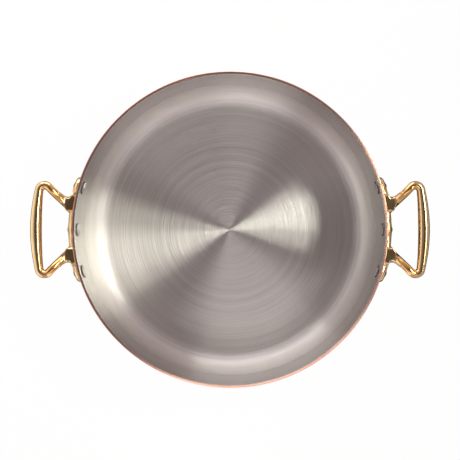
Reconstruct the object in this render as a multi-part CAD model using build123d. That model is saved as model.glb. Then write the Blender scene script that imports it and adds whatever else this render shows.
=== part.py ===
from build123d import *
import math
import os

# A two-handled saute pan: a copper body with a bonded stainless steel lining and riveted brass handles.
# The origin is the middle of the underside, +Z is up and +X points at the right-hand handle.
# All lengths are in millimetres and all angles in degrees.

# Pan body
inner_diameter = 280.0
pan_height = 83.0
copper_thickness = 2.2
lining_thickness = 0.3
inner_corner_radius = 16.0
rim_round = 0.5

# Rivets, a level row on each handle
rivet_drop = 11.0
rivet_pitch = 39.5
shank_diameter = 5.0
head_diameter = 12.0
head_height = 2.1
head_edge = 0.7
tail_diameter = 7.0
tail_height = 1.9
tail_edge = 0.5

# Handle flange: a plate bent round the wall, with a lobe at each rivet and a neck between lobes
flange_thickness = 4.6
lobe_diameter = 18.0
neck_height = 16.5
neck_fillet = 6.0
flange_round = 1.2

# Lugs: flat-topped webs that carry the legs out of the flange
lug_offset = 23.2
lug_base_width = 15.5
lug_tip_width = 9.0
lug_reach = 7.0
lug_round = 1.5
lug_height = 17.0

# Legs and grip: one bar of oval section, bent round two corners
leg_root_offset = 15.2
leg_root_drop = 1.5
leg_root_width = 9.6
leg_root_depth = 11.0
leg_width = 7.2
leg_depth = 7.8
handle_reach = 31.0
grip_lift = 3.0
grip_width = 10.0
grip_depth = 10.8
grip_end_width = 7.4
grip_end_depth = 8.2
grip_bow_radius = 226.0
grip_corner_offset = 34.8
grip_corner_radius = 5.0

# How far a cutting shape runs past what it cuts
overrun = 2.0

# Shares of a stretch of the bar at which its section is set
leg_shares = (0.0, 0.2, 0.4, 0.6, 0.8)
corner_shares = (0.0, 0.2, 0.4, 0.6, 0.8)
grip_shares = (0.0, 0.25, 0.5, 0.75)

# Sizes that follow
inner_radius = inner_diameter / 2
copper_inner_radius = inner_radius + lining_thickness
outer_radius = copper_inner_radius + copper_thickness
floor_height = copper_thickness + lining_thickness
copper_corner_radius = inner_corner_radius + lining_thickness
outer_corner_radius = copper_corner_radius + copper_thickness
rivet_height = pan_height - rivet_drop
rivet_angle = math.degrees(rivet_pitch / outer_radius)
flange_outer_radius = outer_radius + flange_thickness
leg_root_height = rivet_height - leg_root_drop
grip_height = pan_height + grip_lift
grip_middle = outer_radius + handle_reach


def pan_blank(radius, bottom, top, corner_radius):
    """A solid drum from bottom to top with its lower edge rounded."""
    drum = Pos(0, 0, bottom) * Cylinder(radius, top - bottom, align=(Align.CENTER, Align.CENTER, Align.MIN))
    return fillet(drum.faces().sort_by(Axis.Z)[0].edges(), corner_radius)


def upright(radius, bottom, top):
    """A plain cylinder about the pan's axis."""
    return Pos(0, 0, bottom) * Cylinder(radius, top - bottom, align=(Align.CENTER, Align.CENTER, Align.MIN))


def radial_plane(angle):
    """The plane through the pan's axis at rivet height whose normal points outwards at the angle."""
    turn = math.radians(angle)
    sideways = (-math.sin(turn), math.cos(turn), 0)
    outwards = (math.cos(turn), math.sin(turn), 0)
    return Plane(origin=(0, 0, rivet_height), x_dir=sideways, z_dir=outwards)


def radial_rod(angle, radius, start, end):
    """A rod that points outwards at the angle, from one distance from the pan's axis to another."""
    rod = Cylinder(radius, end - start, align=(Align.CENTER, Align.CENTER, Align.MIN))
    return radial_plane(angle) * Pos(0, 0, start) * rod


def rivet_dome(angle, diameter, height, edge, seat_radius, outwards):
    """A low domed head with a short straight edge, standing on a cylinder of the seat radius."""
    crown = height - edge
    ball_radius = ((diameter / 2) ** 2 + crown ** 2) / (2 * crown)
    peak = seat_radius + height * outwards
    ball = radial_plane(angle) * Pos(0, 0, peak - ball_radius * outwards) * Sphere(ball_radius)
    rod = radial_rod(angle, diameter / 2, seat_radius - diameter, seat_radius + diameter)
    return ball & rod


def rivet(angle):
    """One rivet, from its head inside the pan to the dome that is formed on the flange."""
    head = rivet_dome(angle, head_diameter, head_height, head_edge, inner_radius, -1)
    head = head & upright(inner_radius, 0, pan_height)
    tail = rivet_dome(angle, tail_diameter, tail_height, tail_edge, flange_outer_radius, 1)
    tail = tail - upright(flange_outer_radius, 0, pan_height)
    shank_start = inner_radius - head_height / 2
    shank_end = flange_outer_radius + tail_height / 2
    return head + radial_rod(angle, shank_diameter / 2, shank_start, shank_end) + tail


def shank_holes(middle_angle):
    """The three holes that one handle's rivets pass through."""
    start = inner_radius - head_height
    end = flange_outer_radius + lug_reach
    angles = [middle_angle + step * rivet_angle for step in (-1, 0, 1)]
    return [radial_rod(angle, shank_diameter / 2, start, end) for angle in angles]


def flange():
    """The lobed plate, bent round the wall, with its outer edge rounded."""
    lobe_offset = outer_radius * math.sin(math.radians(rivet_angle))
    outline = Rectangle(2 * lobe_offset, neck_height)
    for step in (-1, 0, 1):
        outline += Pos(step * lobe_offset, 0) * Circle(lobe_diameter / 2)
    inside_corners = [v for v in outline.vertices() if abs(v.Y) > neck_height / 4]
    outline = fillet(inside_corners, neck_fillet)
    slab = extrude(radial_plane(0) * outline, flange_outer_radius + overrun)
    reach = lobe_diameter
    wall = upright(flange_outer_radius, rivet_height - reach, rivet_height + reach)
    plate = (slab & wall) - upright(outer_radius, rivet_height - reach, rivet_height + reach)
    outer_face = plate.faces().sort_by(lambda face: face.center().X)[-1]
    return fillet(outer_face.edges(), flange_round)


def lug(side):
    """A flat-topped web whose sides draw in from the flange towards the leg."""
    buried = flange_thickness / 2
    narrowing = (lug_base_width - lug_tip_width) / 2 / lug_reach * buried
    base, tip = lug_base_width / 2, lug_tip_width / 2
    outline = Polygon(
        (buried, narrowing - base), (lug_reach, -tip), (lug_reach, tip), (buried, base - narrowing), align=None
    )
    block = extrude(outline, lug_height / 2, both=True)
    block = fillet(block.faces().sort_by(Axis.X)[-1].edges().filter_by(Axis.Z), lug_round)
    angle = side * math.degrees(lug_offset / outer_radius)
    return Pos(0, 0, rivet_height) * Rot(0, 0, angle) * Pos(outer_radius, 0, 0) * block


def between(first, last, share):
    """The value at a share of the way from the first to the last."""
    return first + (last - first) * share


def quarter_wave(share):
    """Rises from 0 to 1, steeply at first and level at the end."""
    return math.sin(share * math.pi / 2)


def loop_stations():
    """Half of the bar's centre line: places, directions and section sizes from a root to mid-grip."""
    bow_centre = grip_middle - grip_bow_radius
    corner_swing = grip_bow_radius - grip_corner_radius
    bow_turn = math.asin(grip_corner_offset / corner_swing)
    corner = Vector(bow_centre + corner_swing * math.cos(bow_turn), grip_corner_offset)
    root = Vector(math.sqrt(outer_radius ** 2 - leg_root_offset ** 2), leg_root_offset)
    to_corner = corner - root
    leg_turn = math.atan2(to_corner.Y, to_corner.X) + math.asin(grip_corner_radius / to_corner.length)
    leg_length = math.sqrt(to_corner.length ** 2 - grip_corner_radius ** 2)
    heading = Vector(math.cos(leg_turn), math.sin(leg_turn))
    rise = grip_height - leg_root_height
    stations = []
    for share in leg_shares:
        flare = (1 - share) ** 3
        slope = rise * math.pi / 2 * math.sin(share * math.pi) / leg_length
        height = between(leg_root_height, grip_height, (1 - math.cos(share * math.pi)) / 2)
        place = root + heading * (leg_length * share) + Vector(0, 0, height)
        width = between(leg_width, leg_root_width, flare)
        depth = between(leg_depth, leg_root_depth, flare)
        stations.append((place, heading + Vector(0, 0, slope), width, depth))
    first_spoke = leg_turn + math.pi / 2
    for share in corner_shares:
        spoke = between(first_spoke, bow_turn, share)
        place = corner + Vector(math.cos(spoke), math.sin(spoke)) * grip_corner_radius
        width = between(leg_width, grip_end_width, share)
        depth = between(leg_depth, grip_end_depth, share)
        ahead = Vector(math.sin(spoke), -math.cos(spoke))
        stations.append((place + Vector(0, 0, grip_height), ahead, width, depth))
    for share in grip_shares:
        spoke = between(bow_turn, 0, share)
        place = Vector(bow_centre + grip_bow_radius * math.cos(spoke), grip_bow_radius * math.sin(spoke))
        width = between(grip_end_width, grip_width, quarter_wave(share))
        depth = between(grip_end_depth, grip_depth, quarter_wave(share))
        ahead = Vector(math.sin(spoke), -math.cos(spoke))
        stations.append((place + Vector(0, 0, grip_height), ahead, width, depth))
    return stations


def mirrored(station):
    """The same station on the other leg, with the direction still running along the bar."""
    place, ahead, width, depth = station
    return Vector(place.X, -place.Y, place.Z), Vector(-ahead.X, ahead.Y, -ahead.Z), width, depth


def loop():
    """The bar: one leg, a corner, the bowed grip, the other corner and the other leg."""
    half = loop_stations()
    middle = (Vector(grip_middle, 0, grip_height), Vector(0, -1, 0), grip_width, grip_depth)
    sections = []
    for place, ahead, width, depth in half + [middle] + [mirrored(s) for s in reversed(half)]:
        sideways = ahead.cross(Vector(0, 0, 1))
        sections.append(Plane(origin=place, x_dir=sideways, z_dir=ahead) * Ellipse(width / 2, depth / 2))
    return loft(sections)


def right_handle():
    """Flange, lugs and bar as one casting that hugs the wall, drilled for its rivets."""
    mid_plate_radius = outer_radius + flange_thickness / 2
    bar = loop() - upright(mid_plate_radius, 0, grip_height + grip_depth)
    return bar + [lug(-1), lug(1)] + (flange() - shank_holes(0))


def build():
    """All pieces by name."""
    holes = shank_holes(0) + shank_holes(180)
    copper = pan_blank(outer_radius, 0, pan_height, outer_corner_radius)
    copper -= pan_blank(copper_inner_radius, copper_thickness, pan_height + overrun, copper_corner_radius)
    rim_edge = copper.edges().filter_by(GeomType.CIRCLE).group_by(Axis.Z)[-1].sort_by(SortBy.RADIUS)[-1]
    copper = fillet(rim_edge, rim_round)
    lining = pan_blank(copper_inner_radius, copper_thickness, pan_height, copper_corner_radius)
    lining -= pan_blank(inner_radius, floor_height, pan_height + overrun, inner_corner_radius)
    handle = right_handle()
    pieces = {
        "copper_shell": copper - holes,
        "steel_lining": lining - holes,
        "handle_right": handle,
        "handle_left": mirror(handle, Plane.YZ),
    }
    for step, place in ((-1, "front"), (0, "middle"), (1, "back")):
        pieces[f"rivet_right_{place}"] = rivet(step * rivet_angle)
        pieces[f"rivet_left_{place}"] = rivet(180 - step * rivet_angle)
    return pieces


os.makedirs("parts", exist_ok=True)
for name, piece in build().items():
    piece.label = name
    export_step(piece, f"parts/{name}.step")
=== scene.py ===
"""A two-handled copper saute pan with a steel lining and riveted brass handles, seen from straight above."""
import math

import bpy
import numpy as np
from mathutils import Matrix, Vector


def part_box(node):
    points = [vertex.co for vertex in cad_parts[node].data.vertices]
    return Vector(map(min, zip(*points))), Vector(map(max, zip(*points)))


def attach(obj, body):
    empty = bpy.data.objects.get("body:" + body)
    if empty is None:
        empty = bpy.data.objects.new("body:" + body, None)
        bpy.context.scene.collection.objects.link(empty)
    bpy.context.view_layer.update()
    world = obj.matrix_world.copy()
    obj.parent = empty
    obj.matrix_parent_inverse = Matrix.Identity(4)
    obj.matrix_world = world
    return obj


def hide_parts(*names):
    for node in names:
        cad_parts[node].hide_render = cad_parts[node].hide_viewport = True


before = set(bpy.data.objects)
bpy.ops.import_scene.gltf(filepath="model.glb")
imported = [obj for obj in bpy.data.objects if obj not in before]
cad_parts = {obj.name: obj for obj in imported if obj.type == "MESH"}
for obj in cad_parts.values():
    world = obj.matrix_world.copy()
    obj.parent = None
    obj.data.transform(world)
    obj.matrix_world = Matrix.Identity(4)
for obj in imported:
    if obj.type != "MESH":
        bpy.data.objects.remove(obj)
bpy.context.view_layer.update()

MM = 0.001

# The photograph's frame, in pixels, and the camera that sees the rim as large as it is there
IMAGE_SIDE = 460
FOCAL_PIXELS = 611.6
SENSOR_WIDTH = 36.0
CAMERA_ABOVE_RIM = 550 * MM
CAMERA_BACK = 0.34 * MM
CAMERA_NEAR = 10 * MM

# Pan body: the outer sizes are read from the frame
OUTER_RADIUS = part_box("copper_shell")[1].x
PAN_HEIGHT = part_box("copper_shell")[1].z
COPPER_INNER_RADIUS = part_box("steel_lining")[1].x
COPPER_THICKNESS = OUTER_RADIUS - COPPER_INNER_RADIUS
LINING_THICKNESS = 0.3 * MM
INNER_RADIUS = COPPER_INNER_RADIUS - LINING_THICKNESS
FLOOR_HEIGHT = COPPER_THICKNESS + LINING_THICKNESS
INNER_CORNER = 16 * MM
RIM_ROUND = 0.5 * MM
LINING_RIM_ROUND = 0.1 * MM
PAN_SEGMENTS = 360

# Rivets: a head's cap runs into its small round at an angle in degrees, and the foot is sunk by a seat
RIVET_HEIGHT = PAN_HEIGHT - 11 * MM
RIVET_PITCH = 39.5 * MM
SHANK_RADIUS = 2.5 * MM
HEAD_RADIUS = 6 * MM
HEAD_HEIGHT = 2.1 * MM
HEAD_EDGE = 0.7 * MM
TAIL_RADIUS = 3.5 * MM
TAIL_HEIGHT = 1.9 * MM
TAIL_EDGE = 0.5 * MM
RIVET_ROUND = 0.6 * MM
RIVET_ROUND_START = 75
RIVET_SEAT = 0.25 * MM
RIVET_SEGMENTS = 48

# Handle flange: a plate whose sides fall away by a share of the distance from the wall
FLANGE_THICKNESS = 4.6 * MM
FLANGE_RADIUS = OUTER_RADIUS + FLANGE_THICKNESS
LOBE_RADIUS = 9 * MM
NECK_HALF_HEIGHT = 8.25 * MM
NECK_BLEND = 2.4 * MM
FLANGE_ROUND = 3.4 * MM
FLANGE_ROUND_SHARE = 0.8
FLANGE_FALL = 0.16
FLANGE_SECTIONS = 319

# Lugs: flat-topped webs between flange and leg, with hollow sides. A start is the run along the wall from
# the handle's middle, at the underside and at the top.
LUG_HALF_HEIGHT = 9.1 * MM
LUG_OUTER_START = (39.0 * MM, 31.5 * MM)
LUG_INNER_START = (13.0 * MM, 17.2 * MM)
LUG_OUTER_RUN = 12.5 * MM
LUG_INNER_RUN = 4.0 * MM
LUG_ROUND = 0.8 * MM
LUG_BEDDING = 0.8 * MM
LUG_FADE = (4 * MM, 12 * MM)
LUG_SECTIONS = 40

# Legs and grip: a section is a width and a depth
LEG_ROOT_OFFSET = 15.2 * MM
LEG_ROOT_HEIGHT = RIVET_HEIGHT - 1.5 * MM
LEG_ROOT_SECTION = np.array([9.6, 11.0]) * MM
LEG_SECTION = np.array([7.2, 7.8]) * MM
LEG_START_SHARE = 0.12
GRIP_END_SECTION = np.array([7.4, 8.2]) * MM
GRIP_SECTION = np.array([10.0, 10.8]) * MM
GRIP_MIDDLE = OUTER_RADIUS + 31 * MM
GRIP_HEIGHT = PAN_HEIGHT + 3 * MM
GRIP_BOW_RADIUS = 226 * MM
GRIP_CORNER_OFFSET = 34.8 * MM
GRIP_CORNER_RADIUS = 5 * MM

# How many sections half the bar has on each stretch, and how many points each section has
LEG_SECTIONS = 80
CORNER_SECTIONS = 24
GRIP_SECTIONS = 70
BAR_SIDES = 48

# How finely the casting is gathered into one skin and how much its joints are softened
CAST_VOXEL = 0.42 * MM
CAST_EVEN_PASSES = 5
CAST_FILL_PASSES = 60
CAST_FILL_STEP = 0.5
CAST_AIM_PASSES = 10
CAST_FULL_FILL = 0.5 * MM

# The angle between two faces, in degrees, past which their edge stays crisp
CRISP_EDGE = 35.0
CRISP_CAST_EDGE = 60.0

# Bands to a metre along a turned piece's profile, and how often the tone changes on the way round it
BROAD_BANDS = 190.0
RING_BANDS = 1100.0
FINE_BANDS = 9000.0
ARC_BANDS = 900.0
STEEL_ARCS = 1.4
COPPER_ARCS = 1.1
STEEL_TONE_RANGE = (0.38, 0.62)

# Patterns to a metre: the copper's clouds of tarnish, the brass's waves and its buffing marks, which are
# drawn out along Y, and the rivets' dents and their scratches, which are drawn out level
COPPER_CLOUDS = 26.0
BRASS_WAVES = 55.0
BRASS_MARKS = 700.0
RIVET_DENTS = 420.0
RIVET_SCRATCHES = 900.0

# How steeply the brushing's grooves tip the steel: in the finest grooves, in rings and in arcs. The finest
# grow shallower up the wall, between two heights, down to a share.
GROOVE_FINE = 1.5
GROOVE_RING = 0.5
GROOVE_ARC = 0.4
GROOVE_FADE = (14 * MM, 75 * MM)
GROOVE_WALL_SHARE = 0.25

# Heights between which a painted highlight makes the steel's colour brighter at the floor's corner, and
# between which it dims again above it
CORNER_PAINTED_HIGHLIGHT_RISE = (4 * MM, 12 * MM)
CORNER_PAINTED_HIGHLIGHT_FALL = (22 * MM, 48 * MM)

# Distances from the pan's middle plane between which a painted reflection turns the brass browner along the
# legs, and back
LEG_REFLECTION_RISE = (147 * MM, 153 * MM)
LEG_REFLECTION_FALL = (160 * MM, 172 * MM)
LEG_REFLECTION_SHARE = 0.75

# The metals' colours: the darker and the paler tone, and the colours painted on special places: a painted
# highlight at the steel's corner, a painted reflection on the brass legs, and painted shade in the brass's
# inside corners and at the rivets' feet
STEEL_TONES = ((0.62, 0.59, 0.56, 1), (0.84, 0.81, 0.775, 1))
# Painted highlight at the lining's corner
STEEL_CORNER_PAINTED_HIGHLIGHT = (0.87, 0.84, 0.805, 1)
COPPER_TONES = ((0.74, 0.43, 0.32, 1), (0.82, 0.51, 0.39, 1))
COPPER_TARNISH = (0.78, 0.40, 0.29, 1)
BRASS_TONES = ((0.78, 0.55, 0.26, 1), (0.83, 0.63, 0.34, 1))
# Painted reflection on the legs
BRASS_LEG_PAINTED_REFLECTION = (0.74, 0.40, 0.13, 1)
# Painted shade in the casting's inside corners
BRASS_HOLLOW_PAINTED_SHADE = (0.42, 0.24, 0.09, 1)
RIVET_TONES = ((0.60, 0.58, 0.55, 1), (0.74, 0.72, 0.69, 1))
# Painted shade at the rivets' feet, and how far past the head's edge it reaches
RIVET_FOOT_PAINTED_SHADE = (0.10, 0.085, 0.07, 1)
RIVET_SHADE_REACH = 1.8

# Roughness: what the smooth metal has, and what each pattern adds to it
STEEL_ROUGH = 0.18
STEEL_GROOVE_ROUGH = 0.14
COPPER_ROUGH = 0.16
COPPER_LINE_ROUGH = 0.10
COPPER_TARNISH_ROUGH = 0.08
BRASS_ROUGH = 0.10
BRASS_MARK_ROUGH = 0.07
BRASS_HOLLOW_ROUGH = 0.22
RIVET_ROUGH = 0.16
RIVET_SCRATCH_ROUGH = 0.14

# The turn, as a share of a whole one, at which the shader's streaks run with the grooves round the pan
ROUND_THE_PAN = 0.25

# The floor, and the level cards near it that only metal sees
FLOOR_HALF_SIDE = 3.0
FLOOR_COLOUR = (0.9, 0.9, 0.9, 1)
FLOOR_GLOW_SHARE = 0.97
CARD_HEIGHT = 4 * MM

# The main lamps' colour, and that of the others
MAIN_TINT = (1.0, 1.01, 0.92)
WHITE = (1, 1, 1)

# The room's brightness against the height of the direction, 0 level and 1 straight up
SKY_TINT = np.array([1.08, 0.92, 0.96])
SKY_STEPS = (
    (0.0, 0.38), (0.2, 0.48), (0.3, 0.8), (0.55, 0.50),
    (0.78, 0.45), (0.90, 0.30), (0.96, 0.12), (1.0, 0.09),
)

# How much darker the room is on the left and right, and the squared cosines of the azimuth and the heights
# between which that shade sets in
SKY_SIDE_SHADE = 0.42
SKY_SIDE_WIDTH = (0.80, 0.95)
SKY_SIDE_HEIGHT = (0.12, 0.35)


class Value:
    """A shader socket that takes part in sums, so that a pattern is written as an expression."""

    def __init__(self, socket):
        self.socket = socket

    def _math(self, operation, *terms, clamp=False):
        node = self.socket.node.id_data.nodes.new("ShaderNodeMath")
        node.operation = operation
        node.use_clamp = clamp
        for slot, term in zip(node.inputs, terms):
            if isinstance(term, Value):
                node.id_data.links.new(term.socket, slot)
            else:
                slot.default_value = term
        return Value(node.outputs[0])

    def __add__(self, other):
        return self._math("ADD", self, other)

    def __radd__(self, other):
        return self._math("ADD", other, self)

    def __sub__(self, other):
        return self._math("SUBTRACT", self, other)

    def __rsub__(self, other):
        return self._math("SUBTRACT", other, self)

    def __mul__(self, other):
        return self._math("MULTIPLY", self, other)

    def __rmul__(self, other):
        return self._math("MULTIPLY", other, self)

    def __truediv__(self, other):
        return self._math("DIVIDE", self, other)

    def root(self):
        return self._math("SQRT", self)

    def clipped(self):
        return self._math("ADD", self, 0.0, clamp=True)


class Nodes:
    """A node tree that is filled through one method."""

    def __init__(self, tree):
        self.tree = tree
        self.tree.nodes.clear()

    def node(self, kind, settings=None, **inputs):
        """Adds a node: its settings first, then each socket's value or link."""
        made = self.tree.nodes.new(kind)
        for name, setting in (settings or {}).items():
            setattr(made, name, setting)
        for name, value in inputs.items():
            numbered = name[0] == "i" and name[1:].isdigit()
            slot = made.inputs[int(name[1:]) if numbered else name.replace("_", " ")]
            if isinstance(value, Value):
                self.tree.links.new(value.socket, slot)
            elif isinstance(value, bpy.types.NodeSocket):
                self.tree.links.new(value, slot)
            else:
                slot.default_value = value
        return made

    def place(self, coordinates="Object"):
        """Object coordinates, or the sky's direction, as three values."""
        vector = self.node("ShaderNodeTexCoord").outputs[coordinates]
        parts = self.node("ShaderNodeSeparateXYZ", Vector=vector)
        return [Value(parts.outputs[axis]) for axis in "XYZ"]

    def vector(self, x, y, z):
        return self.node("ShaderNodeCombineXYZ", X=x, Y=y, Z=z).outputs[0]

    def noise(self, vector, scale, detail=2.0, rough=0.5):
        """Smooth noise about 0.5 over a vector."""
        made = self.node("ShaderNodeTexNoise", Vector=vector, Scale=scale, Detail=detail, Roughness=rough)
        return Value(made.outputs["Fac"])

    def noise_along(self, value, scale, detail=2.0, rough=0.5):
        """Smooth noise about 0.5 along one value."""
        made = self.node(
            "ShaderNodeTexNoise", {"noise_dimensions": "1D"}, W=value * scale, Scale=1.0, Detail=detail,
            Roughness=rough,
        )
        return Value(made.outputs["Fac"])

    def mix(self, share, first, second):
        """A colour between two, by a share."""
        made = self.node("ShaderNodeMix", {"data_type": "RGBA"}, i0=share, i6=first, i7=second)
        return made.outputs[2]

    def spread(self, value, low, high):
        """Takes a value from the range low to high onto 0 to 1, cut off at both ends."""
        made = self.node("ShaderNodeMapRange", {"clamp": True}, Value=value, From_Min=low, From_Max=high)
        return Value(made.outputs[0])

    def bump(self, height, strength, distance):
        made = self.node("ShaderNodeBump", Height=height, Strength=strength, Distance=distance)
        return made.outputs[0]

    def joined(self, operation, first, second=(0, 0, 0)):
        """The result of an operation on two vectors, such as their cross product, or on the first alone."""
        made = self.node("ShaderNodeVectorMath", {"operation": operation}, i0=first, i1=second)
        return made.outputs[0]

    def grooved(self, slope):
        """The surface's direction, tipped by a slope along a turned piece's profile, as rings do."""
        x, y, z = self.place()
        facing = self.node("ShaderNodeTexCoord").outputs["Normal"]
        around = self.joined("NORMALIZE", self.vector(0.0 - y, x, 0.0))
        along = self.joined("CROSS_PRODUCT", facing, around)
        tip = self.joined("MULTIPLY", along, self.vector(slope, slope, slope))
        unit = self.joined("NORMALIZE", self.joined("ADD", facing, tip))
        half = (0.5, 0.5, 0.5)
        as_colour = self.joined("ADD", self.joined("MULTIPLY", unit, half), half)
        return self.node("ShaderNodeNormalMap", {"space": "OBJECT"}, Color=as_colour).outputs[0]


class Finish(Nodes):
    """One material and the shader that its output shows."""

    def __init__(self, name):
        self.material = bpy.data.materials.new(name)
        self.material.use_nodes = True
        super().__init__(self.material.node_tree)
        self.output = self.tree.nodes.new("ShaderNodeOutputMaterial")

    def metal(self, **inputs):
        """The shader of a bare metal, joined to the output."""
        shader = self.node("ShaderNodeBsdfPrincipled", Metallic=1.0, **inputs)
        self.tree.links.new(shader.outputs[0], self.output.inputs[0])
        return self.material


def turned_place(finish):
    """For turned finishes: the run along the profile, and a vector that changes slowly round the axis and
    quickly along the profile, so that noise over it is drawn out in arcs."""
    x, y, z = finish.place()
    radius = (x * x + y * y).root()
    run = radius + z
    return run, finish.vector(x / radius, y / radius, run * ARC_BANDS)


def brushed_steel():
    """Circular brushing: fine grooves that tip the surface along the profile, in rings and in long arcs that
    fade in and out round the pan. A painted highlight makes the floor's corner brighter."""
    finish = Finish("circular_brushed_steel")
    run, around = turned_place(finish)
    broad = finish.noise_along(run, BROAD_BANDS, detail=3.0)
    rings = finish.noise_along(run, RING_BANDS, detail=4.0, rough=0.7)
    fine = finish.noise_along(run, FINE_BANDS, detail=1.0)
    arcs = finish.noise(around, STEEL_ARCS, detail=4.0, rough=0.65)
    height = finish.place()[2]
    depth = 1.0 - finish.spread(height, *GROOVE_FADE) * (1.0 - GROOVE_WALL_SHARE)
    tone = finish.spread(rings * 0.45 + arcs * 0.35 + broad * 0.2, *STEEL_TONE_RANGE)
    # Painted highlight: a paler colour at the floor's corner stands in for the bright reflection that rings
    # it
    corner = finish.spread(height, *CORNER_PAINTED_HIGHLIGHT_RISE) * (1.0 - finish.spread(height, *CORNER_PAINTED_HIGHLIGHT_FALL))
    colour = finish.mix(corner, finish.mix(tone, *STEEL_TONES), STEEL_CORNER_PAINTED_HIGHLIGHT)
    slope = (fine - 0.5) * GROOVE_FINE * depth + (rings - 0.5) * GROOVE_RING + (arcs - 0.5) * GROOVE_ARC
    return finish.metal(
        Base_Color=colour, Roughness=STEEL_ROUGH + STEEL_GROOVE_ROUGH * depth,
        Anisotropic=1.0, Anisotropic_Rotation=ROUND_THE_PAN, Normal=finish.grooved(slope),
    )


def polished_copper():
    """Polished copper with fine turning lines and faint warm tarnish."""
    finish = Finish("polished_copper")
    run, around = turned_place(finish)
    x, y, z = finish.place()
    lines = finish.noise(around, COPPER_ARCS, detail=4.0, rough=0.6)
    cloud = finish.noise(finish.vector(x, y, z), COPPER_CLOUDS, detail=3.0)
    tarnish = finish.spread(cloud, 0.42, 0.7)
    colour = finish.mix(tarnish, finish.mix(lines, *COPPER_TONES), COPPER_TARNISH)
    rough = COPPER_ROUGH + COPPER_LINE_ROUGH * lines + COPPER_TARNISH_ROUGH * tarnish
    return finish.metal(
        Base_Color=colour, Roughness=rough, Anisotropic=0.3, Anisotropic_Rotation=ROUND_THE_PAN,
        Normal=finish.bump(lines, strength=0.25, distance=0.04 * MM),
    )


def polished_brass():
    """Cast brass, hand polished: soft waves, faint buffing marks, a painted reflection that makes the legs
    browner, and painted shade with duller metal in the inside corners."""
    finish = Finish("polished_cast_brass")
    x, y, z = finish.place()
    wave = finish.noise(finish.vector(x, y, z), BRASS_WAVES)
    marks = finish.noise(finish.vector(x * 3.0, y * 0.5, z * 3.0), BRASS_MARKS, detail=3.0, rough=0.6)
    # Painted shade: the hollow attribute darkens the colour in inside corners, as shade there would, and also
    # raises the roughness
    hollow = Value(finish.node("ShaderNodeAttribute", {"attribute_name": "hollow"}).outputs["Fac"])
    # Painted reflection: a browner colour along the legs stands in for the reflection seen on them
    reach = (x * x).root()
    leg = finish.spread(reach, *LEG_REFLECTION_RISE) * (1.0 - finish.spread(reach, *LEG_REFLECTION_FALL))
    tone = finish.mix(finish.spread(wave, 0.35, 0.65), *BRASS_TONES)
    colour = finish.mix(hollow, finish.mix(leg * LEG_REFLECTION_SHARE, tone, BRASS_LEG_PAINTED_REFLECTION), BRASS_HOLLOW_PAINTED_SHADE)
    return finish.metal(
        Base_Color=colour, Roughness=BRASS_ROUGH + BRASS_MARK_ROUGH * marks + BRASS_HOLLOW_ROUGH * hollow,
        Normal=finish.bump(wave * 0.7 + marks * 0.1, strength=0.12, distance=0.2 * MM),
    )


def rivet_steel():
    """Bright steel rivets with light hammer dents, scratches and painted shade round the foot of each head
    and tail.
    """
    finish = Finish("bright_rivet_steel")
    x, y, z = finish.place()
    dents = finish.noise(finish.vector(x, y, z), RIVET_DENTS, detail=1.0)
    scratches = finish.noise(finish.vector(x, y, z * 6.0), RIVET_SCRATCHES, detail=3.0, rough=0.7)
    radius = (x * x + y * y).root()
    # Painted shade: dark colour from each head's foot along the shank to the tail's foot, standing in for the
    # shade where the rivet meets the metal
    head_foot_shade = finish.spread(radius, INNER_RADIUS - HEAD_EDGE * RIVET_SHADE_REACH, INNER_RADIUS - HEAD_EDGE)
    tail_end = finish.spread(radius, FLANGE_RADIUS + TAIL_EDGE, FLANGE_RADIUS + TAIL_EDGE * RIVET_SHADE_REACH)
    colour = finish.mix(head_foot_shade * (1.0 - tail_end), finish.mix(scratches, *RIVET_TONES), RIVET_FOOT_PAINTED_SHADE)
    return finish.metal(
        Base_Color=colour, Roughness=RIVET_ROUGH + RIVET_SCRATCH_ROUGH * scratches,
        Normal=finish.bump(dents * 0.8 + scratches * 0.2, strength=0.5, distance=0.2 * MM),
    )


def new_piece(name, points, faces, material, crisp=CRISP_EDGE):
    """Puts points and faces into a smooth-shaded mesh object that rides on the pan's one body."""
    mesh = bpy.data.meshes.new(name)
    mesh.from_pydata(points.tolist(), [], faces)
    mesh.materials.append(material)
    mesh.shade_smooth()
    mesh.set_sharp_from_angle(angle=math.radians(crisp))
    piece = bpy.data.objects.new(name, mesh)
    bpy.context.scene.collection.objects.link(piece)
    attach(piece, "root")
    return piece


def band_faces(rows, columns):
    """Four-sided faces between neighbouring rows of a grid whose columns run round and meet."""
    row, column = np.meshgrid(np.arange(rows - 1), np.arange(columns), indexing="ij")
    after = (column + 1) % columns
    here, above = row * columns, (row + 1) * columns
    corners = np.stack([here + column, here + after, above + after, above + column], -1)
    return corners.reshape(-1, 4).tolist()


def capped_faces(rows, columns):
    """The faces of a grid of rings that is closed at each end: the grid's points are followed by one that
    closes its first row and one that closes its last."""
    start = rows * columns
    column = np.arange(columns)
    after = (column + 1) % columns
    last_row = (rows - 1) * columns
    start_fan = np.stack([after, column, np.full(columns, start)], -1)
    end_fan = np.stack([column + last_row, after + last_row, np.full(columns, start + 1)], -1)
    return band_faces(rows, columns) + start_fan.tolist() + end_fan.tolist()


def arc(centre, radius, start, end, steps):
    """Points on a circle about a centre from one angle to another, in degrees."""
    turn = np.radians(np.linspace(start, end, steps + 1))
    return np.stack([centre[0] + radius * np.cos(turn), centre[1] + radius * np.sin(turn)], -1)


def line(start, end, steps):
    """Points along a straight run, the first left out."""
    share = np.linspace(0, 1, steps + 1)[1:, None]
    return np.array(start) + (np.array(end) - np.array(start)) * share


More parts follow.
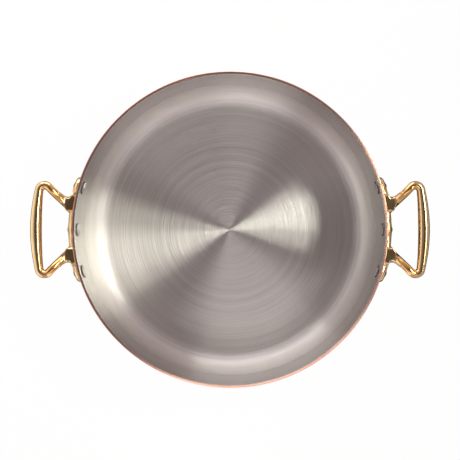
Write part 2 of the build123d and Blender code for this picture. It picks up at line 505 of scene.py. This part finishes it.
def lathe(profile, segments):
    """A profile of (radius, height) carried once round Z: x and y are the radius times the cosine and sine of
    the turn. The profile's first and last points lie on the axis."""
    turn = np.linspace(0, 2 * math.pi, segments, endpoint=False)
    radius, height = profile[1:-1, 0][:, None], profile[1:-1, 1][:, None]
    rings = np.stack([radius * np.cos(turn), radius * np.sin(turn), height + 0 * turn], -1).reshape(-1, 3)
    poles = [[0, 0, profile[0, 1]], [0, 0, profile[-1, 1]]]
    return np.vstack([rings, poles]), capped_faces(len(profile) - 2, segments)


def copper_shell(material):
    """The copper body: flat underside, round lower corner, straight wall, round rim edge, hidden inside."""
    inner_corner = INNER_CORNER + LINING_THICKNESS
    inner_centre = (COPPER_INNER_RADIUS - inner_corner, COPPER_THICKNESS + inner_corner)
    outer_corner = inner_corner + COPPER_THICKNESS
    outer_centre = (OUTER_RADIUS - outer_corner, outer_corner)
    rim_centre = (OUTER_RADIUS - RIM_ROUND, PAN_HEIGHT - RIM_ROUND)
    profile = np.vstack([
        [[0, 0]],
        line((0, 0), (outer_centre[0], 0), steps=24)[:-1],
        arc(outer_centre, outer_corner, -90, 0, steps=28),
        line((OUTER_RADIUS, outer_corner), (OUTER_RADIUS, rim_centre[1]), steps=16)[:-1],
        arc(rim_centre, RIM_ROUND, 0, 90, steps=6),
        [[COPPER_INNER_RADIUS, PAN_HEIGHT]],
        arc(inner_centre, inner_corner, 0, -90, steps=16),
        [[0, COPPER_THICKNESS]],
    ])
    points, faces = lathe(profile, PAN_SEGMENTS)
    piece = new_piece("copper_body", points, faces, material)
    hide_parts("copper_shell")


def steel_lining(material):
    """The lining: a thin skin with a flat floor, round corner and straight wall, bonded to the copper."""
    corner_centre = (INNER_RADIUS - INNER_CORNER, FLOOR_HEIGHT + INNER_CORNER)
    rim_centre = (INNER_RADIUS + LINING_RIM_ROUND, PAN_HEIGHT - LINING_RIM_ROUND)
    profile = np.vstack([
        [[0, COPPER_THICKNESS]],
        arc(corner_centre, INNER_CORNER + LINING_THICKNESS, -90, 0, steps=16),
        [[COPPER_INNER_RADIUS, PAN_HEIGHT]],
        arc(rim_centre, LINING_RIM_ROUND, 90, 180, steps=3),
        line((INNER_RADIUS, rim_centre[1]), (INNER_RADIUS, corner_centre[1]), steps=24)[:-1],
        arc(corner_centre, INNER_CORNER, 0, -90, steps=40),
        line((corner_centre[0], FLOOR_HEIGHT), (0, FLOOR_HEIGHT), steps=40),
    ])
    points, faces = lathe(profile, PAN_SEGMENTS)
    piece = new_piece("steel_skin", points, faces, material)
    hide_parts("steel_lining")


def dome(radius, height, edge):
    """Half a rivet head's profile, from its peak to its foot: a ball's cap, a small round and a short edge
    that ends a seat's depth below the face that it lies on."""
    crown = height - edge
    ball = (radius ** 2 + crown ** 2) / (2 * crown)
    widest = radius - RIVET_ROUND
    out = np.linspace(0, widest, 12)
    cap = np.stack([out, height - ball + np.sqrt(ball ** 2 - out ** 2)], -1)
    lip = arc((widest, cap[-1, 1] - RIVET_ROUND), RIVET_ROUND, RIVET_ROUND_START, 0, steps=5)
    return np.vstack([cap, lip, [[radius, -RIVET_SEAT]]])


def rivet(name, angle, node, material):
    """One rivet: inside head, shank and formed outer dome, turned about their own axis, which then points
    outwards at an angle."""
    tail = dome(TAIL_RADIUS, TAIL_HEIGHT, TAIL_EDGE) + [0, FLANGE_RADIUS]
    head = dome(HEAD_RADIUS, HEAD_HEIGHT, HEAD_EDGE) * [1, -1] + [0, INNER_RADIUS]
    shank = [[SHANK_RADIUS, head[-1, 1]], [SHANK_RADIUS, tail[-1, 1]]]
    points, faces = lathe(np.vstack([head, shank, tail[::-1]]), RIVET_SEGMENTS)
    outwards = np.array([math.cos(angle), math.sin(angle), 0])
    sideways = np.array([-math.sin(angle), math.cos(angle), 0])
    upwards = np.array([0, 0, 1.0])
    placed = points[:, 2:3] * outwards + points[:, 0:1] * sideways + points[:, 1:2] * upwards
    piece = new_piece(name, placed + [0, 0, RIVET_HEIGHT], faces, material)
    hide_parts(node)


def between(first, last, share):
    """The values at shares of the way from the first to the last."""
    return first + (last - first) * share


def leg_line():
    """The leg's straight centre line in plan: its root, turn and length, then the middle of the corner arc
    that it runs into, the middle of the grip's arc, and the turn at which one arc becomes the other."""
    bow_centre = GRIP_MIDDLE - GRIP_BOW_RADIUS
    swing = GRIP_BOW_RADIUS - GRIP_CORNER_RADIUS
    bow_turn = math.asin(GRIP_CORNER_OFFSET / swing)
    corner = np.array([bow_centre + swing * math.cos(bow_turn), GRIP_CORNER_OFFSET])
    root = np.array([math.sqrt(OUTER_RADIUS ** 2 - LEG_ROOT_OFFSET ** 2), LEG_ROOT_OFFSET])
    to_corner = corner - root
    distance = math.hypot(*to_corner)
    leg_turn = math.atan2(to_corner[1], to_corner[0]) + math.asin(GRIP_CORNER_RADIUS / distance)
    leg_length = math.sqrt(distance ** 2 - GRIP_CORNER_RADIUS ** 2)
    return root, leg_turn, leg_length, corner, bow_centre, bow_turn


def leg_height(share):
    """The leg's centre rises from root to grip on half a cosine wave."""
    return LEG_ROOT_HEIGHT + (GRIP_HEIGHT - LEG_ROOT_HEIGHT) * (1 - np.cos(math.pi * share)) / 2


def leg_section(share):
    """The leg's width and depth: they flare towards the root with the cube of what is left of the leg."""
    return between(LEG_SECTION, LEG_ROOT_SECTION, (1 - share) ** 3)


def stations(plan, height, heading, slope, section):
    """One row for each place on the bar: the place, the direction and the section's width and depth."""
    level = np.zeros((len(plan), 1))
    return np.hstack([plan, height + level, heading + level, slope + level, section])


def level_arc(centre, radius, spoke, section):
    """Stations on a level arc about a centre, at the turns of its spokes, run towards smaller turns."""
    plan = centre + radius * np.hstack([np.cos(spoke), np.sin(spoke)])
    return stations(plan, GRIP_HEIGHT, np.hstack([np.sin(spoke), -np.cos(spoke)]), 0, section)


def half_bar():
    """Half of the bar's centre line, root to mid-grip: a straight leg that rises on half a cosine wave, a
    corner arc, and the bowed grip's arc, along which the section swells on a quarter of a sine wave."""
    root, leg_turn, leg_length, corner, bow_centre, bow_turn = leg_line()
    heading = np.array([math.cos(leg_turn), math.sin(leg_turn)])
    share = np.linspace(LEG_START_SHARE, 1, LEG_SECTIONS, endpoint=False)[:, None]
    slope = (GRIP_HEIGHT - LEG_ROOT_HEIGHT) * math.pi / 2 * np.sin(math.pi * share) / leg_length
    plan = root + heading * leg_length * share
    leg = stations(plan, leg_height(share), heading, slope, leg_section(share))

    share = np.linspace(0, 1, CORNER_SECTIONS, endpoint=False)[:, None]
    spoke = between(leg_turn + math.pi / 2, bow_turn, share)
    bend = level_arc(corner, GRIP_CORNER_RADIUS, spoke, between(LEG_SECTION, GRIP_END_SECTION, share))

    share = np.linspace(0, 1, GRIP_SECTIONS)[:, None]
    swell = np.sin(share * math.pi / 2)
    spoke = between(bow_turn, 0, share)
    section = between(GRIP_END_SECTION, GRIP_SECTION, swell)
    grip = level_arc(np.array([bow_centre, 0]), GRIP_BOW_RADIUS, spoke, section)
    return np.vstack([leg, bend, grip])


def bar():
    """An oval carried along the whole centre line: half its width times the cosine of the turn sideways, and
    half its depth times the sine upwards."""
    half = half_bar()
    other = half[-2::-1] * [1, -1, 1, -1, 1, -1, 1, 1]
    station = np.vstack([half, other])
    place, ahead, section = station[:, :3], station[:, 3:6], station[:, 6:]
    ahead = ahead / np.linalg.norm(ahead, axis=1, keepdims=True)
    sideways = np.cross(ahead, [0, 0, 1.0])
    sideways /= np.linalg.norm(sideways, axis=1, keepdims=True)
    upwards = np.cross(sideways, ahead)
    turn = np.linspace(0, 2 * math.pi, BAR_SIDES, endpoint=False)
    across = sideways[:, None] * (section[:, 0:1, None] / 2 * np.cos(turn)[:, None])
    along = upwards[:, None] * (section[:, 1:2, None] / 2 * np.sin(turn)[:, None])
    rings = (place[:, None] + across + along).reshape(-1, 3)
    return np.vstack([rings, place[[0, -1]]]), capped_faces(len(station), BAR_SIDES)


def smooth_larger(first, second, blend):
    """The larger of two values, rounded where they cross, as a cast corner is: where they are nearer than the
    blend, a quarter of the blend is added, times the square of the share that is left of it."""
    gap = np.maximum(blend - np.abs(first - second), 0) / blend
    return np.maximum(first, second) + gap ** 2 * blend / 4


def plate_ring(half, outside, rounding, steps=10):
    """Points round the plate's section, a row for each section, as heights and distances from the axis:
    square at the wall, and with two rounded corners outside."""
    half, outside, rounding = half[:, None], outside[:, None], rounding[:, None]
    turn = np.linspace(0, math.pi / 2, steps)
    corner_height = half - rounding + rounding * np.cos(turn)
    corner_distance = outside - rounding + rounding * np.sin(turn)
    wall = np.full_like(half, OUTER_RADIUS)
    height = np.hstack([-half, half, corner_height, -corner_height[:, ::-1]])
    distance = np.hstack([wall, wall, corner_distance, corner_distance[:, ::-1]])
    return height, distance


def flange():
    """The lobed plate: at each run along the wall its half-height is that of the lobes, the root of the lobe
    radius squared less the square of the distance to the lobe's middle, or between them the neck's. Its ends
    are rounded by a circle's arc, and its sides fall away outwards."""
    end = RIVET_PITCH + LOBE_RADIUS
    run = end * np.sin(np.linspace(-math.pi / 2, math.pi / 2, FLANGE_SECTIONS + 2)[1:-1])
    middles = np.array([[-RIVET_PITCH], [0], [RIVET_PITCH]])
    lobe = np.sqrt(np.maximum(LOBE_RADIUS ** 2 - (run - middles) ** 2, 0)).max(0)
    half = np.where(np.abs(run) < RIVET_PITCH, smooth_larger(lobe, NECK_HALF_HEIGHT, NECK_BLEND), lobe)
    to_end = np.clip((end - np.abs(run)) / FLANGE_ROUND, 0, 1)
    drop = FLANGE_ROUND * (1 - np.sqrt(1 - (1 - to_end) ** 2))
    rounding = np.minimum(FLANGE_ROUND, half * FLANGE_ROUND_SHARE)
    height, distance = plate_ring(half, FLANGE_RADIUS - drop, rounding)
    height -= np.sign(height) * np.minimum(FLANGE_FALL * (distance - OUTER_RADIUS), np.abs(height))
    angle = (run / OUTER_RADIUS)[:, None]
    rings = np.stack([distance * np.cos(angle), distance * np.sin(angle), RIVET_HEIGHT + height], -1)
    caps = rings[[0, -1]].mean(1)
    return np.vstack([rings.reshape(-1, 3), caps]), capped_faces(*rings.shape[:2])


def curve(first, corner, last, share):
    """A quadratic curve: it leaves the first point towards the corner and comes to the last from it."""
    return (1 - share) ** 2 * first + 2 * share * (1 - share) * corner + share ** 2 * last


def lug_side(offset, start_run, run, share):
    """One hollow side of a lug in plan: a curve that leaves the flange's face towards the leg's edge, which
    is an offset from its centre line, and ends a run further along that edge."""
    root, leg_turn = leg_line()[:2]
    heading = np.array([math.cos(leg_turn), math.sin(leg_turn)])
    edge = root + offset * np.array([-heading[1], heading[0]])
    along = -edge @ heading + math.sqrt((edge @ heading) ** 2 - edge @ edge + FLANGE_RADIUS ** 2)
    meeting = edge + heading * along
    turn = start_run / FLANGE_RADIUS
    start = FLANGE_RADIUS * np.array([math.cos(turn), math.sin(turn)])
    return curve(start, meeting, meeting + heading * run, share)


def rounded_ring(half_width, half_height, rounding, steps=6):
    """Points round a box section with four rounded corners, a row for each half-width: their places across
    and up."""
    quarter = np.linspace(0, math.pi / 2, steps)
    across, up = [], []
    for right, top, first in ((1, 1, 0), (-1, 1, 1), (-1, -1, 2), (1, -1, 3)):
        turn = quarter + first * math.pi / 2
        across.append(right * (half_width - rounding) + rounding * np.cos(turn))
        up.append(top * (half_height - rounding) + rounding * np.sin(turn))
    return np.hstack(across), np.hstack(up)


def lug(side):
    """A flat-topped web: box sections from the wall outwards, each between the two hollow sides. Its top is
    flat until the leg rises out of it, and its underside climbs with the leg on a smooth step."""
    root, leg_turn, leg_length = leg_line()[:3]
    heading = np.array([math.cos(leg_turn), math.sin(leg_turn)])
    share = np.linspace(0, 1, LUG_SECTIONS)[:, None]
    at_wall = (OUTER_RADIUS + LUG_BEDDING / 2) / FLANGE_RADIUS
    sides = []
    for starts, run, hand in ((LUG_INNER_START, LUG_INNER_RUN, -1), (LUG_OUTER_START, LUG_OUTER_RUN, 1)):
        levels = [lug_side(hand * LEG_SECTION[0] / 2, start, run, share) for start in starts]
        sides.append([np.vstack([level[:1] * at_wall, level]) for level in levels])
    (inner_low, inner_top), (outer_low, outer_top) = sides
    half_width = np.linalg.norm(outer_top - inner_top, axis=1, keepdims=True) / 2
    across, up = rounded_ring(half_width, LUG_HALF_HEIGHT, LUG_ROUND)
    raised = (up / LUG_HALF_HEIGHT + 1) / 2
    inner = between(inner_low[:, None], inner_top[:, None], raised[:, None])
    outer = between(outer_low[:, None], outer_top[:, None], raised[:, None])
    plan = between(inner, outer, ((across / half_width + 1) / 2)[:, :, None])
    along = (plan - root) @ heading
    leg_share = np.clip(along / leg_length, 0, 1)
    half_depth = leg_section(leg_share[..., None])[..., 1] / 2
    top = np.maximum(RIVET_HEIGHT + LUG_HALF_HEIGHT, leg_height(leg_share) + half_depth - LUG_BEDDING)
    fade = np.clip((along - LUG_FADE[0]) / (LUG_FADE[1] - LUG_FADE[0]), 0, 1)
    fade = fade * fade * (3 - 2 * fade)
    bottom = between(RIVET_HEIGHT - LUG_HALF_HEIGHT, leg_height(leg_share) - half_depth + LUG_BEDDING, fade)
    height = between(bottom, top, raised)
    rings = np.stack([plan[..., 0], side * plan[..., 1], height], -1)
    rings = rings if side > 0 else rings[:, ::-1]
    caps = rings[[0, -1]].mean(1)
    return np.vstack([rings.reshape(-1, 3), caps]), capped_faces(*rings.shape[:2])


def gathered(parts):
    """Several closed surfaces as one list of points and faces."""
    points, faces, count = [], [], 0
    for part_points, part_faces in parts:
        points.append(part_points)
        faces += [[corner + count for corner in face] for face in part_faces]
        count += len(part_points)
    return np.vstack(points), faces


def one_skin(points, faces):
    """The outer skin of overlapping closed surfaces, taken on a fine voxel grid."""
    mesh = bpy.data.meshes.new("casting")
    mesh.from_pydata(points.tolist(), [], faces)
    rough = bpy.data.objects.new("casting", mesh)
    bpy.context.scene.collection.objects.link(rough)
    remesh = rough.modifiers.new("Skin", "REMESH")
    remesh.mode = "VOXEL"
    remesh.voxel_size = CAST_VOXEL
    remesh.adaptivity = 0.0
    made = bpy.data.meshes.new_from_object(rough.evaluated_get(bpy.context.evaluated_depsgraph_get()))
    bpy.data.objects.remove(rough)
    skin = np.zeros(len(made.vertices) * 3)
    made.vertices.foreach_get("co", skin)
    edges = np.zeros(len(made.edges) * 2, int)
    made.edges.foreach_get("vertices", edges)
    quads = [list(face.vertices) for face in made.polygons]
    return skin.reshape(-1, 3), edges.reshape(-1, 2), quads


def summed(owners, vectors, count):
    """For each of a number of points, the sum of the vectors that it owns."""
    return np.stack([np.bincount(owners, vectors[:, axis], count) for axis in range(3)], -1)


def neighbour_means(points, edges):
    """For every point, the mean of the points that share an edge with it."""
    ends = np.concatenate([edges[:, 0], edges[:, 1]])
    others = np.concatenate([edges[:, 1], edges[:, 0]])
    neighbours = np.bincount(ends, minlength=len(points))[:, None]
    return summed(ends, points[others], len(points)) / neighbours


def outward_directions(points, quads):
    """A unit direction for every point: the sum of the cross products of its faces' diagonals."""
    corner = np.array(quads)
    first_diagonal = points[corner[:, 2]] - points[corner[:, 0]]
    second_diagonal = points[corner[:, 3]] - points[corner[:, 1]]
    face = np.cross(first_diagonal, second_diagonal)
    total = summed(corner.ravel(), np.repeat(face, 4, axis=0), len(points))
    return total / np.linalg.norm(total, axis=1, keepdims=True)


def polished(points, edges, quads):
    """Evens the skin out, then fills its inside corners: a point moves outwards to its neighbours' mean,
    never inwards, so hollows fill to soft curves and outer edges stay. Gives the points and how far each one
    rose."""
    for _ in range(CAST_EVEN_PASSES):
        points = (points + neighbour_means(points, edges)) / 2
    even = points
    for done in range(CAST_FILL_PASSES):
        if done % CAST_AIM_PASSES == 0:
            outwards = outward_directions(points, quads)
        rise = ((neighbour_means(points, edges) - points) * outwards).sum(1, keepdims=True)
        points = points + CAST_FILL_STEP * np.maximum(rise, 0) * outwards
    return points, np.linalg.norm(points - even, axis=1)


def bedded(points):
    """The casting's back lies on the pan's wall: no point is nearer the axis than the wall."""
    push = np.maximum(OUTER_RADIUS / np.hypot(points[:, 0], points[:, 1]), 1)
    return points * np.stack([push, push, np.ones_like(push)], -1)


def cast_handles(material):
    """Both handles: flange, lugs and bar as one casting with soft inside corners. The left one is the right
    one half turned. An attribute says how much of an inside corner each point is; the brass paints shade and
    duller metal there by it."""
    skin, edges, quads = one_skin(*gathered([flange(), lug(-1), lug(1), bar()]))
    points, risen = polished(skin, edges, quads)
    points = bedded(points)
    filled = np.clip(risen / CAST_FULL_FILL, 0, 1).astype(np.float32)
    for side, turn in (("right", 1), ("left", -1)):
        placed = points * [turn, turn, 1]
        piece = new_piece(f"brass_handle_{side}", placed, quads, material, CRISP_CAST_EDGE)
        piece.data.attributes.new("hollow", "FLOAT", "POINT").data.foreach_set("value", filled)
        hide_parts(f"handle_{side}")


def all_rivets(material):
    """Three rivets on each side, a pitch apart round the wall."""
    for side, middle, hand in (("right", 0.0, 1), ("left", math.pi, -1)):
        for step, place in ((-1, "front"), (0, "middle"), (1, "back")):
            angle = middle + hand * step * RIVET_PITCH / OUTER_RADIUS
            rivet(f"steel_rivet_{side}_{place}", angle, f"rivet_{side}_{place}", material)


def camera():
    """The camera, straight above the pan, with the top of the picture at +Y."""
    data = bpy.data.cameras.new("camera")
    data.sensor_width = SENSOR_WIDTH
    data.lens = FOCAL_PIXELS * SENSOR_WIDTH / IMAGE_SIDE
    data.clip_start = CAMERA_NEAR
    placed = bpy.data.objects.new("camera", data)
    placed.location = (0, -CAMERA_BACK, PAN_HEIGHT + CAMERA_ABOVE_RIM)
    bpy.context.scene.collection.objects.link(placed)
    bpy.context.scene.camera = placed


def level_sheet(name, low, high, height, finish, shader):
    """A level rectangle between two corners in plan, with a shader: a piece of the stage."""
    corners = [(low[0], low[1]), (high[0], low[1]), (high[0], high[1]), (low[0], high[1])]
    mesh = bpy.data.meshes.new(name)
    mesh.from_pydata([(x, y, height) for x, y in corners], [], [(0, 1, 2, 3)])
    finish.tree.links.new(shader.outputs[0], finish.output.inputs[0])
    mesh.materials.append(finish.material)
    placed = bpy.data.objects.new(name, mesh)
    bpy.context.scene.collection.objects.link(placed)
    return placed


def floor():
    """A wide pale floor that shows white to the camera and in metal, and keeps a soft shadow."""
    finish = Finish("pale_floor")
    path = finish.node("ShaderNodeLightPath")
    camera_ray, glossy_ray, transmission_ray = [
        Value(path.outputs[f"Is {kind} Ray"]) for kind in ("Camera", "Glossy", "Transmission")
    ]
    seen = (camera_ray + glossy_ray + transmission_ray).clipped()
    matt = finish.node("ShaderNodeBsdfDiffuse", Color=FLOOR_COLOUR)
    glow = finish.node("ShaderNodeEmission", Color=(1, 1, 1, 1), Strength=1.0)
    share = seen * FLOOR_GLOW_SHARE
    blend = finish.node("ShaderNodeMixShader", i0=share, i1=matt.outputs[0], i2=glow.outputs[0])
    side = FLOOR_HALF_SIDE
    level_sheet("floor", (-side, -side), (side, side), 0, finish, blend)


def card(name, low, high, colour):
    """A level card near the floor that only metal sees: it darkens the undersides of bright edges."""
    finish = Finish(name)
    matt = finish.node("ShaderNodeBsdfDiffuse", Color=(*colour, 1))
    placed = level_sheet(name, low, high, CARD_HEIGHT, finish, matt)
    placed.visible_camera = False
    placed.visible_diffuse = False
    placed.visible_shadow = False


def area_lamp(name, azimuth, distance, height, size, facing, radiance, colour):
    """A rectangular lamp at an azimuth and a distance from the pan's axis, which the camera doesn't see. Its
    power is radiance times area times pi."""
    lamp = bpy.data.lights.new(name, "AREA")
    lamp.shape = "RECTANGLE"
    lamp.size, lamp.size_y = size
    lamp.energy = radiance * size[0] * size[1] * math.pi
    lamp.color = colour
    placed = bpy.data.objects.new(name, lamp)
    placed.location = (distance * math.cos(azimuth), distance * math.sin(azimuth), height)
    placed.rotation_euler = facing
    placed.visible_camera = False
    bpy.context.scene.collection.objects.link(placed)


def chord(distance, spread):
    """The width that spans an angle at a distance: twice the distance times the tangent of half the angle."""
    return 2 * distance * math.tan(math.radians(spread / 2))


def softbox(name, azimuth, distance, spread, bottom, top, radiance, colour=WHITE):
    """An upright lamp that faces the pan's axis and spans a spread of azimuth and a range of heights."""
    turn = math.radians(azimuth)
    size = (chord(distance, spread), top - bottom)
    facing = (math.pi / 2, 0, turn + math.pi / 2)
    area_lamp(name, turn, distance, (bottom + top) / 2, size, facing, radiance, colour)


def level_lamp(name, azimuth, distance, spread, depth, height, radiance):
    """A lamp that faces straight down and spans a spread of azimuth and a depth outwards."""
    turn = math.radians(azimuth)
    area_lamp(name, turn, distance, height, (depth, chord(distance, spread)), (0, 0, turn), radiance, WHITE)


def sky():
    """The room: grey at the horizon, brightest a little above it, grey again at mid heights and dark straight
    above. On the left and on the right it is darker, except at the horizon."""
    world = bpy.data.worlds.new("room")
    bpy.context.scene.world = world
    world.use_nodes = True
    room = Nodes(world.node_tree)
    x, y, z = room.place("Generated")
    ramp = room.node("ShaderNodeValToRGB", Fac=z.clipped())
    stops = ramp.color_ramp.elements
    stops[0].position, stops[0].color = 0.0, (*SKY_TINT * SKY_STEPS[0][1], 1)
    stops[1].position, stops[1].color = 1.0, (*SKY_TINT * SKY_STEPS[-1][1], 1)
    for place, grey in SKY_STEPS[1:-1]:
        stops.new(place).color = (*SKY_TINT * grey, 1)
    sideways = room.spread(x * x / (x * x + y * y), *SKY_SIDE_WIDTH)
    kept = 1.0 - sideways * room.spread(z, *SKY_SIDE_HEIGHT) * SKY_SIDE_SHADE
    shown = room.mix(kept, (0, 0, 0, 1), ramp.outputs[0])
    back = room.node("ShaderNodeBackground", Color=shown, Strength=1.0)
    room.node("ShaderNodeOutputWorld", Surface=back.outputs[0])


bpy.context.scene.view_settings.view_transform = "Standard"
camera()
floor()
sky()
softbox(
    "main_softbox", azimuth=9.5, distance=0.42, spread=50, bottom=0.44, top=0.595, radiance=8.6,
    colour=MAIN_TINT,
)
softbox(
    "main_core", azimuth=13, distance=0.41, spread=24, bottom=0.44, top=0.585, radiance=8.6,
    colour=MAIN_TINT,
)
level_lamp("front_overhead", azimuth=285, distance=0.31, spread=80, depth=0.18, height=0.58, radiance=1.35)
level_lamp("left_overhead", azimuth=180, distance=0.25, spread=50, depth=0.10, height=0.21, radiance=0.26)
softbox("back_softbox", azimuth=105, distance=0.50, spread=60, bottom=0.05, top=0.36, radiance=3.1)
softbox("left_card", azimuth=180, distance=0.36, spread=100, bottom=0.02, top=0.32, radiance=0.72)
softbox("front_card", azimuth=260, distance=0.27, spread=30, bottom=0.02, top=0.21, radiance=1.3)
card("right_flag", low=(0.15, -0.22), high=(0.60, 0.22), colour=(0.02, 0.018, 0.015))
card("left_flag", low=(-0.60, -0.22), high=(-0.15, 0.22), colour=(0.25, 0.22, 0.18))
copper_shell(polished_copper())
steel_lining(brushed_steel())
cast_handles(polished_brass())
all_rivets(rivet_steel())
